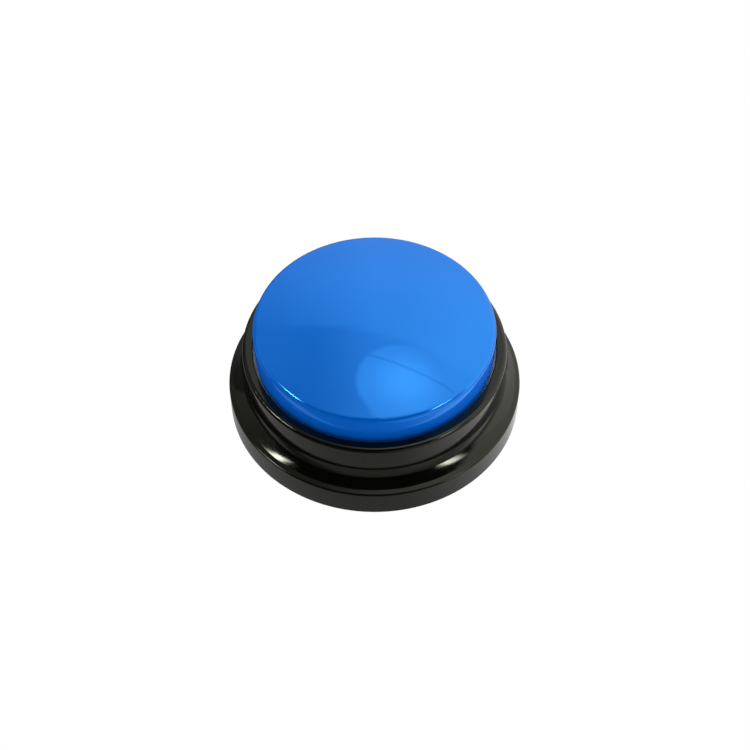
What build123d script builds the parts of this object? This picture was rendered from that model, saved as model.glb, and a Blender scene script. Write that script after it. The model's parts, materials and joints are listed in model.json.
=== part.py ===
"""Table-top quiz buzzer: a domed push button in a round, stepped, battery-powered sound housing.

Units are millimetres. +Z is up, -Y is the front, and the origin is on the table at the centre of the feet.
"""

import os
from math import asin, cos, degrees, radians, sin

from build123d import *

# ---------------------------------------------------------------- driving dimensions: outside
TOTAL_HEIGHT = 39.8
FOOT_DROP = 0.8  # how far the rubber feet stand below the housing
WALL = 2.0  # moulded wall thickness
BASE_RADIUS = 45.0
BASE_WALL_TOP = 9.64
BASE_EDGE_ROUND = 0.6
FOOT_EDGE_ROUND = 0.4
FLARE_INNER_RADIUS = 40.6
FLARE_TOP = 12.6
FLARE_OUTER_RADIUS = 43.6  # a narrow, flatter ledge runs from here out to the wall
FLARE_FOOT = 10.2
FLARE_HOLLOW = 0.1  # sagitta of the flare's concave arc
FLARE_FOOT_ROUND = 2.0
FLARE_INSIDE = ((39.1, 11.0), (42.9, 7.9))  # the flare's inner face, as radius and height
RING_RADIUS = 40.0
RING_FOOT = 15.6  # height where the steep cove meets the ring wall
RING_WALL = 1.8
RING_TOP = 25.0
RING_EDGE_ROUND = 1.15
MOUTH_RADIUS = 36.85  # hole that the button moves in
MOUTH_EDGE_ROUND = 0.3
LIP_THICKNESS = 1.8
SHELF_THICKNESS = 1.6
SHELF_SIZE = (13.2, 10.0)
SHELF_CENTRE_RADIUS = 32.0
SPRING_PEG_HEIGHT = 1.5

# ---------------------------------------------------------------- driving dimensions: button
TRAVEL = 3.5
CAP_RADIUS = 36.3
CAP_RIM_ROUND = 1.9
CAP_RIM_SLOPE = 18.0  # dome slope where it meets the rim rounding, degrees
STOP_GAP = 0.1
FLANGE_RADIUS = 37.9
FLANGE_THICKNESS = 1.3
HAT_RADIUS = 26.0
HAT_PLATE = 1.6
HAT_UNDERSIDE = 26.0
CARRIER_SCREW_CIRCLE = 22.0
CARRIER_SCREW_START = 30  # angle of the first one, degrees
CARRIER_SCREW_BOSS = 3.0
TOWER_ROOF = 1.2
PAD_RADIUS = 2.4
PAD_THICKNESS = 1.2
PAD_POST_RADIUS = 2.5
SPRING_CIRCLE = 30.0
SPRING_ANGLES = (90, 210, 330)
SPRING_RADIUS = 2.6
SPRING_WIRE = 0.6
SPRING_TURNS = 6
TOWER_RADIUS = 4.2
TOWER_BORE = 3.4

# ---------------------------------------------------------------- driving dimensions: inside
COVER_THICKNESS = 2.0
COVER_GAP = 0.3
BOARD_THICKNESS = 1.6
BOARD_UNDERSIDE = 14.9
BOARD_RADIUS = 32.3
BOARD_FRONT = -20.0
BOARD_BACK = 22.0
BOARD_SCREW_HOLE = 1.1
BOARD_SCREW_POINTS = ((29.5, -5.0), (-29.5, -5.0), (24.0, 14.0), (-24.0, 14.0))
CASE_SCREW_CIRCLE = 36.0
CASE_BOSS_RADIUS = 3.2
CASE_BOSS_BORE = 1.3
CASE_BOSS_BORE_DEPTH = 9.0
CASE_CUP_RADIUS = 4.2
CASE_CUP_TOP = 6.0
CASE_CUP_BORE = 2.9
CASE_CUP_FLOOR = 4.8  # the screw heads press up against this
CASE_SCREW_CLEARANCE = 1.4
CASE_SCREW_HEAD = (2.5, 1.8)  # radius and height
CASE_SCREW_SHANK = (1.25, 8.4)  # radius and length
CASE_SCREW_CROSS = (2.8, 0.6, 1.0)  # the recess: length, width and depth
CARRIER_SCREW_HEAD = (2.0, 1.3)
CARRIER_SCREW_SHANK = (1.0, 7.0)
CARRIER_SCREW_CROSS = (2.2, 0.5, 0.7)
BOARD_SCREW_HEAD = (1.9, 1.1)
BOARD_SCREW_SHANK = (0.85, 6.0)
BOARD_SCREW_CROSS = (2.2, 0.5, 0.6)
DOOR_SCREW_HEAD = (2.0, 0.85)
DOOR_SCREW_SHANK = (1.0, 3.0)
DOOR_SCREW_CROSS = (2.4, 0.5, 0.45)
SCREW_BORE_GAP = 0.05
FOOT_RADIUS = 4.5
FOOT_POCKET = 0.6
FOOT_POINTS = ((32.5, 18.75), (-32.5, 18.75), (-32.5, -18.75), (32.5, -18.75))
CELL_RADIUS = 5.25
CELL_LENGTH = 44.5
CELL_NUB = 0.8  # how far the positive tip stands out
CELL_GAP = 0.6  # between the two cells
WELL_CENTRE_Y = -14.0
WELL_HALF_LENGTH = 24.85
WELL_HALF_WIDTH = 11.1
WELL_WALL = 1.2
WELL_CEILING = 13.6
WELL_ROOF = 1.1
RIB_HEIGHT = 2.0
RIB_THICKNESS = 1.3
RIB_INSET = 0.2
DOOR_BOSS_RADIUS = 3.0
DOOR_BOSS_HEIGHT = 4.2
DOOR_BOSS_BORE = 1.5
DOOR_BOSS_BORE_DEPTH = 5.0
DOOR_TONGUE_RADIUS = 4.2
DOOR_TONGUE_OFFSET = 2.7  # the tongue's centre stands this far in front of the well
DOOR_TAB_X = 12.0
DOOR_TAB_WIDTH = 5.0
COLLAR_WALL = 1.0
SPEAKER_COLLAR = (0.2, 2.4)  # clearance round the speaker and height
MICROPHONE_COLLAR = (0.1, 2.2)
RECORD_COLLAR = (0.3, 3.2)
BOARD_BOSS_RADIUS = 2.4
BOARD_BOSS_BORE = 0.9
BOARD_BOSS_BORE_DEPTH = 8.0
TAIL_SLOT = (0.9, 3.2)  # a contact tail's slot in the well's roof and the board
SOUND_HOLE_RADIUS = 0.9
SOUND_HOLE_RINGS = ((3.6, 6), (7.2, 12))  # circle radius and number of holes
CONTACT_THICKNESS = 0.4
CONTACT_BUMP = 0.5
SPEAKER_CENTRE = (0.0, 17.0)
SPEAKER_RADIUS = 14.0
RECORD_POINT = (20.5, 6.5)
BASKET_HEIGHT = 4.4
MICROPHONE_POINT = (-20.5, 6.5)
MICROPHONE_RADIUS = 3.0
MICROPHONE_HEIGHT = 2.7
MICROPHONE_HOLE = 0.8
RECORD_TRAVEL = 1.0
RECORD_FACE_RADIUS = 3.7
RECORD_FACE_INSET = 0.2  # how far the face sits inside the cover's underside
RECORD_HOLE = 4.0
RECORD_FLANGE = (5.0, 1.0)  # radius and thickness
RECORD_PUSHER_RADIUS = 1.8
SWITCH_SIZE = 6.0
SWITCH_BODY = 3.5
SWITCH_STEM = 0.9
SWITCH_TRAVEL = 0.3
SWITCH_STEM_RADIUS = 1.7
SWITCH_STEM_HIDDEN = 0.6  # length of the stem inside its body
SWITCH_STEM_BORE_DEPTH = 1.0
SWITCH_CORNER = 0.6
RECORD_SWITCH_TRAVEL = 0.25
CONTACT_GAP = 0.05  # clearance left between a pusher and its switch at full press
DOOR_GAP = 0.3
DOOR_THICKNESS = 1.6
DOOR_SCREW_SEAT = 0.9  # depth of the screw head's recess
TAB_STEM = 1.2
TAB_LIFT = 0.1  # gap between a hook and the cover it lies on
TAB_HOOK_THICKNESS = 0.8
TAB_HOOK_LENGTH = 3.0
TAB_HOOK_REACH = 1.8  # how far a hook reaches behind the door
DOOR_PAD_SIZE = (30.0, 14.0, 0.4)
GROOVE_SIZE = (16.0, 0.9, 0.4)  # finger grooves across the door: length, width and depth
GROOVE_PITCH = 1.9
GROOVE_COUNT = 5
GROOVE_CENTRE_Y = -17.0
LEAD_RADIUS = 0.5
CHIP_POINT = (13.0, -9.0)
CHIP_SIZE = (5.0, 1.3)  # radius and height
CAPACITOR_POINT = (-12.0, -8.0)
CAPACITOR_SIZE = (2.5, 5.0)
RESISTOR_SIZE = (1.6, 0.8, 0.5)
RESISTOR_GRID = (3.2, 4.0, 4, 2)  # pitch in x and y, and how many
RESISTOR_CENTRE = (0, 12.0)
MAGNET_SIZE = (7.0, 3.4)  # radius and height

# ---------------------------------------------------------------- worked-out heights
COVER_TOP = FOOT_DROP + COVER_THICKNESS
LIP_UNDERSIDE = RING_TOP - LIP_THICKNESS
FLANGE_TOP = LIP_UNDERSIDE - STOP_GAP
FLANGE_UNDERSIDE = FLANGE_TOP - FLANGE_THICKNESS
SHELF_TOP = FLANGE_UNDERSIDE - TRAVEL - STOP_GAP
SHELF_UNDERSIDE = SHELF_TOP - SHELF_THICKNESS
RING_INSIDE = RING_RADIUS - RING_WALL
BOARD_TOP = BOARD_UNDERSIDE + BOARD_THICKNESS
RIM_CENTRE_RADIUS = CAP_RADIUS - CAP_RIM_ROUND
DOME_EDGE_RADIUS = RIM_CENTRE_RADIUS + CAP_RIM_ROUND * sin(radians(CAP_RIM_SLOPE))
DOME_RADIUS = DOME_EDGE_RADIUS / sin(radians(CAP_RIM_SLOPE))
DOME_RISE = DOME_RADIUS * (1 - cos(radians(CAP_RIM_SLOPE)))
SKIRT_TOP = TOTAL_HEIGHT - DOME_RISE - CAP_RIM_ROUND * cos(radians(CAP_RIM_SLOPE))
CAP_INSIDE = CAP_RADIUS - WALL
INNER_DOME_SLOPE = asin(CAP_INSIDE / (DOME_RADIUS - WALL))  # where the dome's inside meets the skirt's
INNER_SKIRT_TOP = TOTAL_HEIGHT - DOME_RADIUS + (DOME_RADIUS - WALL) * cos(INNER_DOME_SLOPE)
HAT_TOP = HAT_UNDERSIDE + HAT_PLATE
SWITCH_TIP = BOARD_TOP + SWITCH_BODY + SWITCH_STEM
PAD_TIP = SWITCH_TIP - SWITCH_TRAVEL + TRAVEL + CONTACT_GAP
RECORD_SWITCH_TIP = BOARD_UNDERSIDE - SWITCH_BODY - SWITCH_STEM
RECORD_PUSHER_TOP = RECORD_SWITCH_TIP + RECORD_SWITCH_TRAVEL - RECORD_TRAVEL - CONTACT_GAP
DOOR_TOP = FOOT_DROP + DOOR_THICKNESS
CELL_AXIS_Z = WELL_CEILING - 0.2 - CELL_RADIUS
CELL_OFFSET_Y = CELL_RADIUS + CELL_GAP / 2
WELL_FRONT = WELL_CENTRE_Y - WELL_HALF_WIDTH
WELL_BACK = WELL_CENTRE_Y + WELL_HALF_WIDTH
DOOR_BACK = WELL_BACK - DOOR_GAP
DOOR_FRONT = WELL_FRONT + DOOR_GAP
TONGUE_Y = WELL_FRONT - DOOR_TONGUE_OFFSET
CONTACT_FACE = WELL_HALF_LENGTH - 0.05 - CONTACT_THICKNESS
CELL_TIP = CONTACT_FACE - CONTACT_BUMP - 0.05
CELL_TAIL = CELL_TIP - CELL_LENGTH
TAIL_POINTS = [
    (CONTACT_FACE + CONTACT_THICKNESS / 2, WELL_CENTRE_Y + side * CELL_OFFSET_Y) for side in (1, -1)
]

pieces = {}


# ---------------------------------------------------------------- upper housing
with BuildPart() as upper_housing:
    with BuildSketch(Plane.XZ):
        with BuildLine():
            flare_top = (FLARE_INNER_RADIUS, FLARE_TOP)
            flare_foot = (FLARE_OUTER_RADIUS, FLARE_FOOT)
            Polyline(
                flare_top,
                (RING_RADIUS, RING_FOOT),
                (RING_RADIUS, RING_TOP),
                (MOUTH_RADIUS, RING_TOP),
                (MOUTH_RADIUS, LIP_UNDERSIDE),
                (RING_INSIDE, LIP_UNDERSIDE),
                (RING_INSIDE, RING_FOOT - SHELF_THICKNESS / 2),
                *FLARE_INSIDE,
                (BASE_RADIUS - WALL, FLARE_INSIDE[-1][1] - 0.3),
                (BASE_RADIUS - WALL, FOOT_DROP),
                (BASE_RADIUS, FOOT_DROP),
                (BASE_RADIUS, BASE_WALL_TOP),
                flare_foot,
            )
            SagittaArc(flare_foot, flare_top, FLARE_HOLLOW)
        make_face()
    revolve(axis=Axis.Z)
    for edge_radius, edge_height, round_radius in (
        (RING_RADIUS, RING_TOP, RING_EDGE_ROUND),
        (MOUTH_RADIUS, RING_TOP, MOUTH_EDGE_ROUND),
        (FLARE_OUTER_RADIUS, FLARE_FOOT, FLARE_FOOT_ROUND),
        (BASE_RADIUS, BASE_WALL_TOP, BASE_EDGE_ROUND),
        (BASE_RADIUS, FOOT_DROP, FOOT_EDGE_ROUND),
    ):
        circles = upper_housing.edges().filter_by(GeomType.CIRCLE)
        at_height = circles.filter_by(lambda e: abs(e.center().Z - edge_height) < 0.01)
        fillet(at_height.filter_by(lambda e: abs(e.radius - edge_radius) < 0.01), round_radius)
    # Three shelves inside the ring carry the button springs and stop the button at full press.
    with BuildSketch(Plane.XY.offset(SHELF_UNDERSIDE)):
        for angle in SPRING_ANGLES:
            with PolarLocations(SHELF_CENTRE_RADIUS, 1, start_angle=angle):
                Rectangle(*SHELF_SIZE)
    extrude(amount=SHELF_TOP - SHELF_UNDERSIDE)
    with BuildSketch(Plane.XY.offset(SHELF_TOP)):
        for angle in SPRING_ANGLES:
            with PolarLocations(SPRING_CIRCLE, 1, start_angle=angle):
                Circle(SPRING_RADIUS - SPRING_WIRE)
    extrude(amount=SPRING_PEG_HEIGHT)
    # Four screw bosses hang from the ring wall.
    with BuildSketch(Plane.XY.offset(CASE_CUP_TOP)):
        with PolarLocations(CASE_SCREW_CIRCLE, 4):
            Circle(CASE_BOSS_RADIUS)
    extrude(amount=SHELF_TOP - CASE_CUP_TOP)
    with BuildSketch(Plane.XY.offset(CASE_CUP_TOP)):
        with PolarLocations(CASE_SCREW_CIRCLE, 4):
            Circle(CASE_BOSS_BORE)
    extrude(amount=CASE_BOSS_BORE_DEPTH, mode=Mode.SUBTRACT)
pieces["upper_housing"] = upper_housing


# ---------------------------------------------------------------- bottom cover
with BuildPart() as bottom_cover:
    with BuildSketch(Plane.XY.offset(FOOT_DROP)):
        Circle(BASE_RADIUS - WALL - COVER_GAP)
    extrude(amount=COVER_THICKNESS)
    # Locating rib just inside the housing wall.
    with BuildSketch(Plane.XY.offset(COVER_TOP)):
        Circle(BASE_RADIUS - WALL - COVER_GAP - RIB_INSET)
        Circle(BASE_RADIUS - WALL - COVER_GAP - RIB_INSET - RIB_THICKNESS, mode=Mode.SUBTRACT)
    extrude(amount=RIB_HEIGHT)
    # Battery well: four walls and a roof.
    with BuildSketch(Plane.XY.offset(COVER_TOP)):
        with Locations((0, WELL_CENTRE_Y)):
            Rectangle(2 * (WELL_HALF_LENGTH + WELL_WALL), 2 * (WELL_HALF_WIDTH + WELL_WALL))
    extrude(amount=WELL_CEILING + WELL_ROOF - COVER_TOP)
    # Boss for the battery door screw, on the front of the well.
    with BuildSketch(Plane.XY.offset(COVER_TOP)):
        with Locations((0, TONGUE_Y)):
            Circle(DOOR_BOSS_RADIUS)
    extrude(amount=DOOR_BOSS_HEIGHT)
    # Speaker collar, microphone collar, record button guide, board bosses and case screw cups.
    for centre, held_radius, (clearance, height) in (
        (SPEAKER_CENTRE, SPEAKER_RADIUS, SPEAKER_COLLAR),
        (MICROPHONE_POINT, MICROPHONE_RADIUS, MICROPHONE_COLLAR),
        (RECORD_POINT, RECORD_FLANGE[0], RECORD_COLLAR),
    ):
        with BuildSketch(Plane.XY.offset(COVER_TOP)):
            with Locations(centre):
                Circle(held_radius + clearance + COLLAR_WALL)
                Circle(held_radius + clearance, mode=Mode.SUBTRACT)
        extrude(amount=height)
    with BuildSketch(Plane.XY.offset(COVER_TOP)):
        with Locations(*BOARD_SCREW_POINTS):
            Circle(BOARD_BOSS_RADIUS)
    extrude(amount=BOARD_UNDERSIDE - COVER_TOP)
    with BuildSketch(Plane.XY.offset(FOOT_DROP)):
        with PolarLocations(CASE_SCREW_CIRCLE, 4):
            Circle(CASE_CUP_RADIUS)
    extrude(amount=CASE_CUP_TOP - FOOT_DROP)
    # Everything cut away from below: the well's room, the door tongue's recess and the screw holes.
    with BuildSketch(Plane.XY.offset(FOOT_DROP)):
        with Locations((0, WELL_CENTRE_Y)):
            Rectangle(2 * WELL_HALF_LENGTH, 2 * WELL_HALF_WIDTH)
    extrude(amount=WELL_CEILING - FOOT_DROP, mode=Mode.SUBTRACT)
    with BuildSketch(Plane.XY.offset(FOOT_DROP)):
        with Locations((0, TONGUE_Y)):
            Circle(DOOR_TONGUE_RADIUS + DOOR_GAP)
    extrude(amount=DOOR_THICKNESS + DOOR_GAP / 3, mode=Mode.SUBTRACT)
    with BuildSketch(Plane.XY.offset(FOOT_DROP)):
        with Locations((0, TONGUE_Y)):
            Circle(DOOR_BOSS_BORE)
    extrude(amount=DOOR_BOSS_BORE_DEPTH, mode=Mode.SUBTRACT)
    with BuildSketch(Plane.XY.offset(FOOT_DROP)):
        with PolarLocations(CASE_SCREW_CIRCLE, 4):
            Circle(CASE_CUP_BORE)
    extrude(amount=CASE_CUP_FLOOR - FOOT_DROP, mode=Mode.SUBTRACT)
    with BuildSketch(Plane.XY.offset(FOOT_DROP)):
        with PolarLocations(CASE_SCREW_CIRCLE, 4):
            Circle(CASE_SCREW_CLEARANCE)
    extrude(amount=CASE_CUP_TOP, mode=Mode.SUBTRACT)
    with BuildSketch(Plane.XY.offset(BOARD_UNDERSIDE)):
        with Locations(*BOARD_SCREW_POINTS):
            Circle(BOARD_BOSS_BORE)
    extrude(amount=-BOARD_BOSS_BORE_DEPTH, mode=Mode.SUBTRACT)
    # Notches in the well's back wall for the two door tabs.
    with BuildSketch(Plane.XY.offset(COVER_TOP)):
        with Locations((DOOR_TAB_X, WELL_BACK + WELL_WALL / 2), (-DOOR_TAB_X, WELL_BACK + WELL_WALL / 2)):
            Rectangle(DOOR_TAB_WIDTH + 1.0, WELL_WALL + 0.2)
    extrude(amount=2.4, mode=Mode.SUBTRACT)
    # Slots in the well's roof for the contact tails.
    with BuildSketch(Plane.XY.offset(WELL_CEILING - 0.5)):
        with Locations(*TAIL_POINTS):
            Rectangle(*TAIL_SLOT)
    extrude(amount=WELL_ROOF + 1.0, mode=Mode.SUBTRACT)
    # Foot pockets.
    with BuildSketch(Plane.XY.offset(FOOT_DROP)):
        with Locations(*FOOT_POINTS):
            Circle(FOOT_RADIUS + 0.1)
    extrude(amount=FOOT_POCKET, mode=Mode.SUBTRACT)
    # Sound holes under the speaker, the record button's hole and the microphone's hole.
    with BuildSketch(Plane.XY.offset(FOOT_DROP - 0.1)):
        with Locations(SPEAKER_CENTRE):
            Circle(SOUND_HOLE_RADIUS)
            for ring_radius, hole_count in SOUND_HOLE_RINGS:
                with PolarLocations(ring_radius, hole_count):
                    Circle(SOUND_HOLE_RADIUS)
        with Locations(RECORD_POINT):
            Circle(RECORD_HOLE)
        with Locations(MICROPHONE_POINT):
            Circle(MICROPHONE_HOLE)
    extrude(amount=COVER_THICKNESS + 0.2, mode=Mode.SUBTRACT)
pieces["bottom_cover"] = bottom_cover


# ---------------------------------------------------------------- screws
def around(radius, count, first_angle=0):
    """Evenly spaced points on a circle about the axis."""
    angles = [radians(first_angle + 360 * number / count) for number in range(count)]
    return [(radius * cos(angle), radius * sin(angle)) for angle in angles]


def screws(points, seat, head, shank, cross, shank_goes=1):
    """A group of cross-head screws. The heads press on the height seat; the shanks go up (1) or down (-1)."""
    head_radius, head_height = head
    shank_radius, shank_length = shank
    cross_length, cross_width, cross_depth = cross
    with BuildPart() as group:
        with BuildSketch(Plane.XY.offset(seat)):
            with Locations(*points):
                Circle(shank_radius)
        extrude(amount=shank_goes * shank_length)
        with BuildSketch(Plane.XY.offset(seat)):
            with Locations(*points):
                Circle(head_radius)
        extrude(amount=-shank_goes * head_height)
        with BuildSketch(Plane.XY.offset(seat - shank_goes * head_height)):
            with Locations(*points):
                Rectangle(cross_length, cross_width)
                Rectangle(cross_width, cross_length)
        extrude(amount=shank_goes * cross_depth, mode=Mode.SUBTRACT)
    return group


pieces["case_screws"] = screws(
    around(CASE_SCREW_CIRCLE, 4), CASE_CUP_FLOOR, CASE_SCREW_HEAD, CASE_SCREW_SHANK, CASE_SCREW_CROSS
)
pieces["carrier_screws"] = screws(
    around(CARRIER_SCREW_CIRCLE, 3, CARRIER_SCREW_START), HAT_UNDERSIDE, CARRIER_SCREW_HEAD,
    CARRIER_SCREW_SHANK, CARRIER_SCREW_CROSS,
)
pieces["board_screws"] = screws(
    BOARD_SCREW_POINTS, BOARD_TOP, BOARD_SCREW_HEAD, BOARD_SCREW_SHANK, BOARD_SCREW_CROSS, -1
)
pieces["door_screw"] = screws(
    [(0, TONGUE_Y)], FOOT_DROP + DOOR_SCREW_SEAT, DOOR_SCREW_HEAD, DOOR_SCREW_SHANK, DOOR_SCREW_CROSS
)


# ---------------------------------------------------------------- rubber feet
for number, (foot_x, foot_y) in enumerate(FOOT_POINTS, start=1):
    with BuildPart() as rubber_foot:
        with BuildSketch(Plane.XY):
            with Locations((foot_x, foot_y)):
                Circle(FOOT_RADIUS)
        extrude(amount=FOOT_DROP + FOOT_POCKET)
        fillet(rubber_foot.faces().sort_by(Axis.Z)[0].edges(), 0.4)
    pieces[f"rubber_foot_{number}"] = rubber_foot


# ---------------------------------------------------------------- button cap
with BuildPart() as button_cap:
    with BuildSketch(Plane.XZ):
        with BuildLine():
            outer_skirt = Line((CAP_RADIUS, FLANGE_TOP), (CAP_RADIUS, SKIRT_TOP))
            outer_rim = JernArc(outer_skirt @ 1, (0, 1), CAP_RIM_ROUND, 90 - CAP_RIM_SLOPE)
            outer_dome = JernArc(outer_rim @ 1, outer_rim % 1, DOME_RADIUS, CAP_RIM_SLOPE)
            inner_skirt = Line((CAP_INSIDE, FLANGE_TOP), (CAP_INSIDE, INNER_SKIRT_TOP))
            inner_start = (-cos(INNER_DOME_SLOPE), sin(INNER_DOME_SLOPE))
            inner_dome = JernArc(inner_skirt @ 1, inner_start, DOME_RADIUS - WALL, degrees(INNER_DOME_SLOPE))
            Line(outer_skirt @ 0, inner_skirt @ 0)
            Line(outer_dome @ 1, inner_dome @ 1)
        make_face()
    revolve(axis=Axis.Z)
    boss_top = TOTAL_HEIGHT - WALL - 1.2
    with BuildSketch(Plane.XY.offset(HAT_TOP)):
        with PolarLocations(CARRIER_SCREW_CIRCLE, 3, start_angle=CARRIER_SCREW_START):
            Circle(CARRIER_SCREW_BOSS)
    extrude(amount=boss_top - HAT_TOP)
    with BuildSketch(Plane.XY.offset(HAT_TOP)):
        with PolarLocations(CARRIER_SCREW_CIRCLE, 3, start_angle=CARRIER_SCREW_START):
            Circle(CARRIER_SCREW_SHANK[0] + SCREW_BORE_GAP)
    extrude(amount=CARRIER_SCREW_SHANK[1], mode=Mode.SUBTRACT)
pieces["button_cap"] = button_cap


# ---------------------------------------------------------------- button carrier
with BuildPart() as button_carrier:
    with BuildSketch(Plane.XZ):
        with BuildLine():
            Polyline(
                (0, PAD_TIP + PAD_THICKNESS),
                (PAD_POST_RADIUS, PAD_TIP + PAD_THICKNESS),
                (PAD_POST_RADIUS, HAT_UNDERSIDE),
                (HAT_RADIUS - 1.5, HAT_UNDERSIDE),
                (HAT_RADIUS - 1.5, FLANGE_UNDERSIDE),
                (FLANGE_RADIUS, FLANGE_UNDERSIDE),
                (FLANGE_RADIUS, FLANGE_TOP),
                (HAT_RADIUS, FLANGE_TOP),
                (HAT_RADIUS, HAT_TOP),
                (0, HAT_TOP),
                close=True,
            )
        make_face()
    revolve(axis=Axis.Z)
    # Spring towers, open below.
    with BuildSketch(Plane.XY.offset(FLANGE_UNDERSIDE)):
        for angle in SPRING_ANGLES:
            with PolarLocations(SPRING_CIRCLE, 1, start_angle=angle):
                Circle(TOWER_RADIUS)
    extrude(amount=HAT_TOP - FLANGE_UNDERSIDE)
    with BuildSketch(Plane.XY.offset(FLANGE_UNDERSIDE)):
        for angle in SPRING_ANGLES:
            with PolarLocations(SPRING_CIRCLE, 1, start_angle=angle):
                Circle(TOWER_BORE)
    extrude(amount=HAT_TOP - TOWER_ROOF - FLANGE_UNDERSIDE, mode=Mode.SUBTRACT)
    with BuildSketch(Plane.XY.offset(HAT_UNDERSIDE - 0.1)):
        with PolarLocations(CARRIER_SCREW_CIRCLE, 3, start_angle=CARRIER_SCREW_START):
            Circle(CARRIER_SCREW_SHANK[0] + 4 * SCREW_BORE_GAP)
    extrude(amount=HAT_PLATE + 0.2, mode=Mode.SUBTRACT)
pieces["button_carrier"] = button_carrier


# ---------------------------------------------------------------- press pad
with BuildPart() as press_pad:
    with BuildSketch(Plane.XY.offset(PAD_TIP)):
        Circle(PAD_RADIUS)
    extrude(amount=PAD_THICKNESS)
    fillet(press_pad.faces().sort_by(Axis.Z)[0].edges(), 0.4)
pieces["press_pad"] = press_pad


# ---------------------------------------------------------------- button springs
spring_bottom = SHELF_TOP + SPRING_WIRE / 2 + 0.02
spring_top = HAT_TOP - TOWER_ROOF - SPRING_WIRE / 2 - 0.02
for number, angle in enumerate(SPRING_ANGLES, start=1):
    centre_x = SPRING_CIRCLE * cos(radians(angle))
    centre_y = SPRING_CIRCLE * sin(radians(angle))
    with BuildPart() as button_spring:
        with BuildLine():
            coil = Helix(
                pitch=(spring_top - spring_bottom) / SPRING_TURNS,
                height=spring_top - spring_bottom,
                radius=SPRING_RADIUS,
                center=(centre_x, centre_y, spring_bottom),
            )
        with BuildSketch(Plane(origin=coil @ 0, z_dir=coil % 0)):
            Circle(SPRING_WIRE / 2)
        sweep(path=coil, is_frenet=True)
    pieces[f"button_spring_{number}"] = button_spring


# ---------------------------------------------------------------- circuit board
with BuildPart() as circuit_board:
    with BuildSketch(Plane.XY.offset(BOARD_UNDERSIDE)):
        Circle(BOARD_RADIUS)
        with Locations((0, (BOARD_FRONT + BOARD_BACK) / 2)):
            Rectangle(2 * BOARD_RADIUS, BOARD_BACK - BOARD_FRONT, mode=Mode.INTERSECT)
        with Locations(*BOARD_SCREW_POINTS):
            Circle(BOARD_SCREW_HOLE, mode=Mode.SUBTRACT)
        with Locations(*TAIL_POINTS):
            Rectangle(*TAIL_SLOT, mode=Mode.SUBTRACT)
    extrude(amount=BOARD_THICKNESS)
pieces["circuit_board"] = circuit_board


# ---------------------------------------------------------------- push switches on the board
with BuildPart() as press_switch_body:
    with BuildSketch(Plane.XY.offset(BOARD_TOP)):
        Rectangle(SWITCH_SIZE, SWITCH_SIZE)
    extrude(amount=SWITCH_BODY)
    chamfer(press_switch_body.edges().filter_by(Axis.Z), SWITCH_CORNER)
    with BuildSketch(Plane.XY.offset(BOARD_TOP + SWITCH_BODY - SWITCH_STEM_BORE_DEPTH)):
        Circle(SWITCH_STEM_RADIUS + 0.1)
    extrude(amount=SWITCH_STEM_BORE_DEPTH, mode=Mode.SUBTRACT)
pieces["press_switch_body"] = press_switch_body

with BuildPart() as press_switch_plunger:
    with BuildSketch(Plane.XY.offset(SWITCH_TIP - SWITCH_STEM - SWITCH_STEM_HIDDEN)):
        Circle(SWITCH_STEM_RADIUS)
    extrude(amount=SWITCH_STEM + SWITCH_STEM_HIDDEN)
    fillet(press_switch_plunger.faces().sort_by(Axis.Z)[-1].edges(), 0.2)
pieces["press_switch_plunger"] = press_switch_plunger

with BuildPart() as record_switch_body:
    with BuildSketch(Plane.XY.offset(BOARD_UNDERSIDE - SWITCH_BODY)):
        with Locations(RECORD_POINT):
            Rectangle(SWITCH_SIZE, SWITCH_SIZE)
    extrude(amount=SWITCH_BODY)
    chamfer(record_switch_body.edges().filter_by(Axis.Z), SWITCH_CORNER)
    with BuildSketch(Plane.XY.offset(BOARD_UNDERSIDE - SWITCH_BODY)):
        with Locations(RECORD_POINT):
            Circle(SWITCH_STEM_RADIUS + 0.1)
    extrude(amount=SWITCH_STEM_BORE_DEPTH, mode=Mode.SUBTRACT)
pieces["record_switch_body"] = record_switch_body

with BuildPart() as record_switch_plunger:
    with BuildSketch(Plane.XY.offset(RECORD_SWITCH_TIP)):
        with Locations(RECORD_POINT):
            Circle(SWITCH_STEM_RADIUS)
    extrude(amount=SWITCH_STEM + SWITCH_STEM_HIDDEN)
    fillet(record_switch_plunger.faces().sort_by(Axis.Z)[0].edges(), 0.2)
pieces["record_switch_plunger"] = record_switch_plunger


# ---------------------------------------------------------------- record button
with BuildPart() as record_button:
    flange_radius, flange_thickness = RECORD_FLANGE
    flange_underside = COVER_TOP + 0.1
    with BuildSketch(Plane.XY.offset(FOOT_DROP + RECORD_FACE_INSET)):
        with Locations(RECORD_POINT):
            Circle(RECORD_FACE_RADIUS)
    extrude(amount=flange_underside - FOOT_DROP - RECORD_FACE_INSET)
    fillet(record_button.faces().sort_by(Axis.Z)[0].edges(), 0.4)
    with BuildSketch(Plane.XY.offset(flange_underside)):
        with Locations(RECORD_POINT):
            Circle(flange_radius)
    extrude(amount=flange_thickness)
    with BuildSketch(Plane.XY.offset(flange_underside + flange_thickness)):
        with Locations(RECORD_POINT):
            Circle(RECORD_PUSHER_RADIUS)
    extrude(amount=RECORD_PUSHER_TOP - flange_underside - flange_thickness)
pieces["record_button"] = record_button


# ---------------------------------------------------------------- small parts on the board
with BuildPart() as sound_chip:
    with BuildSketch(Plane.XY.offset(BOARD_TOP)):
        with Locations(CHIP_POINT):
            Circle(CHIP_SIZE[0])
    extrude(amount=CHIP_SIZE[1])
    fillet(sound_chip.faces().sort_by(Axis.Z)[-1].edges(), 1.1)
pieces["sound_chip"] = sound_chip

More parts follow.
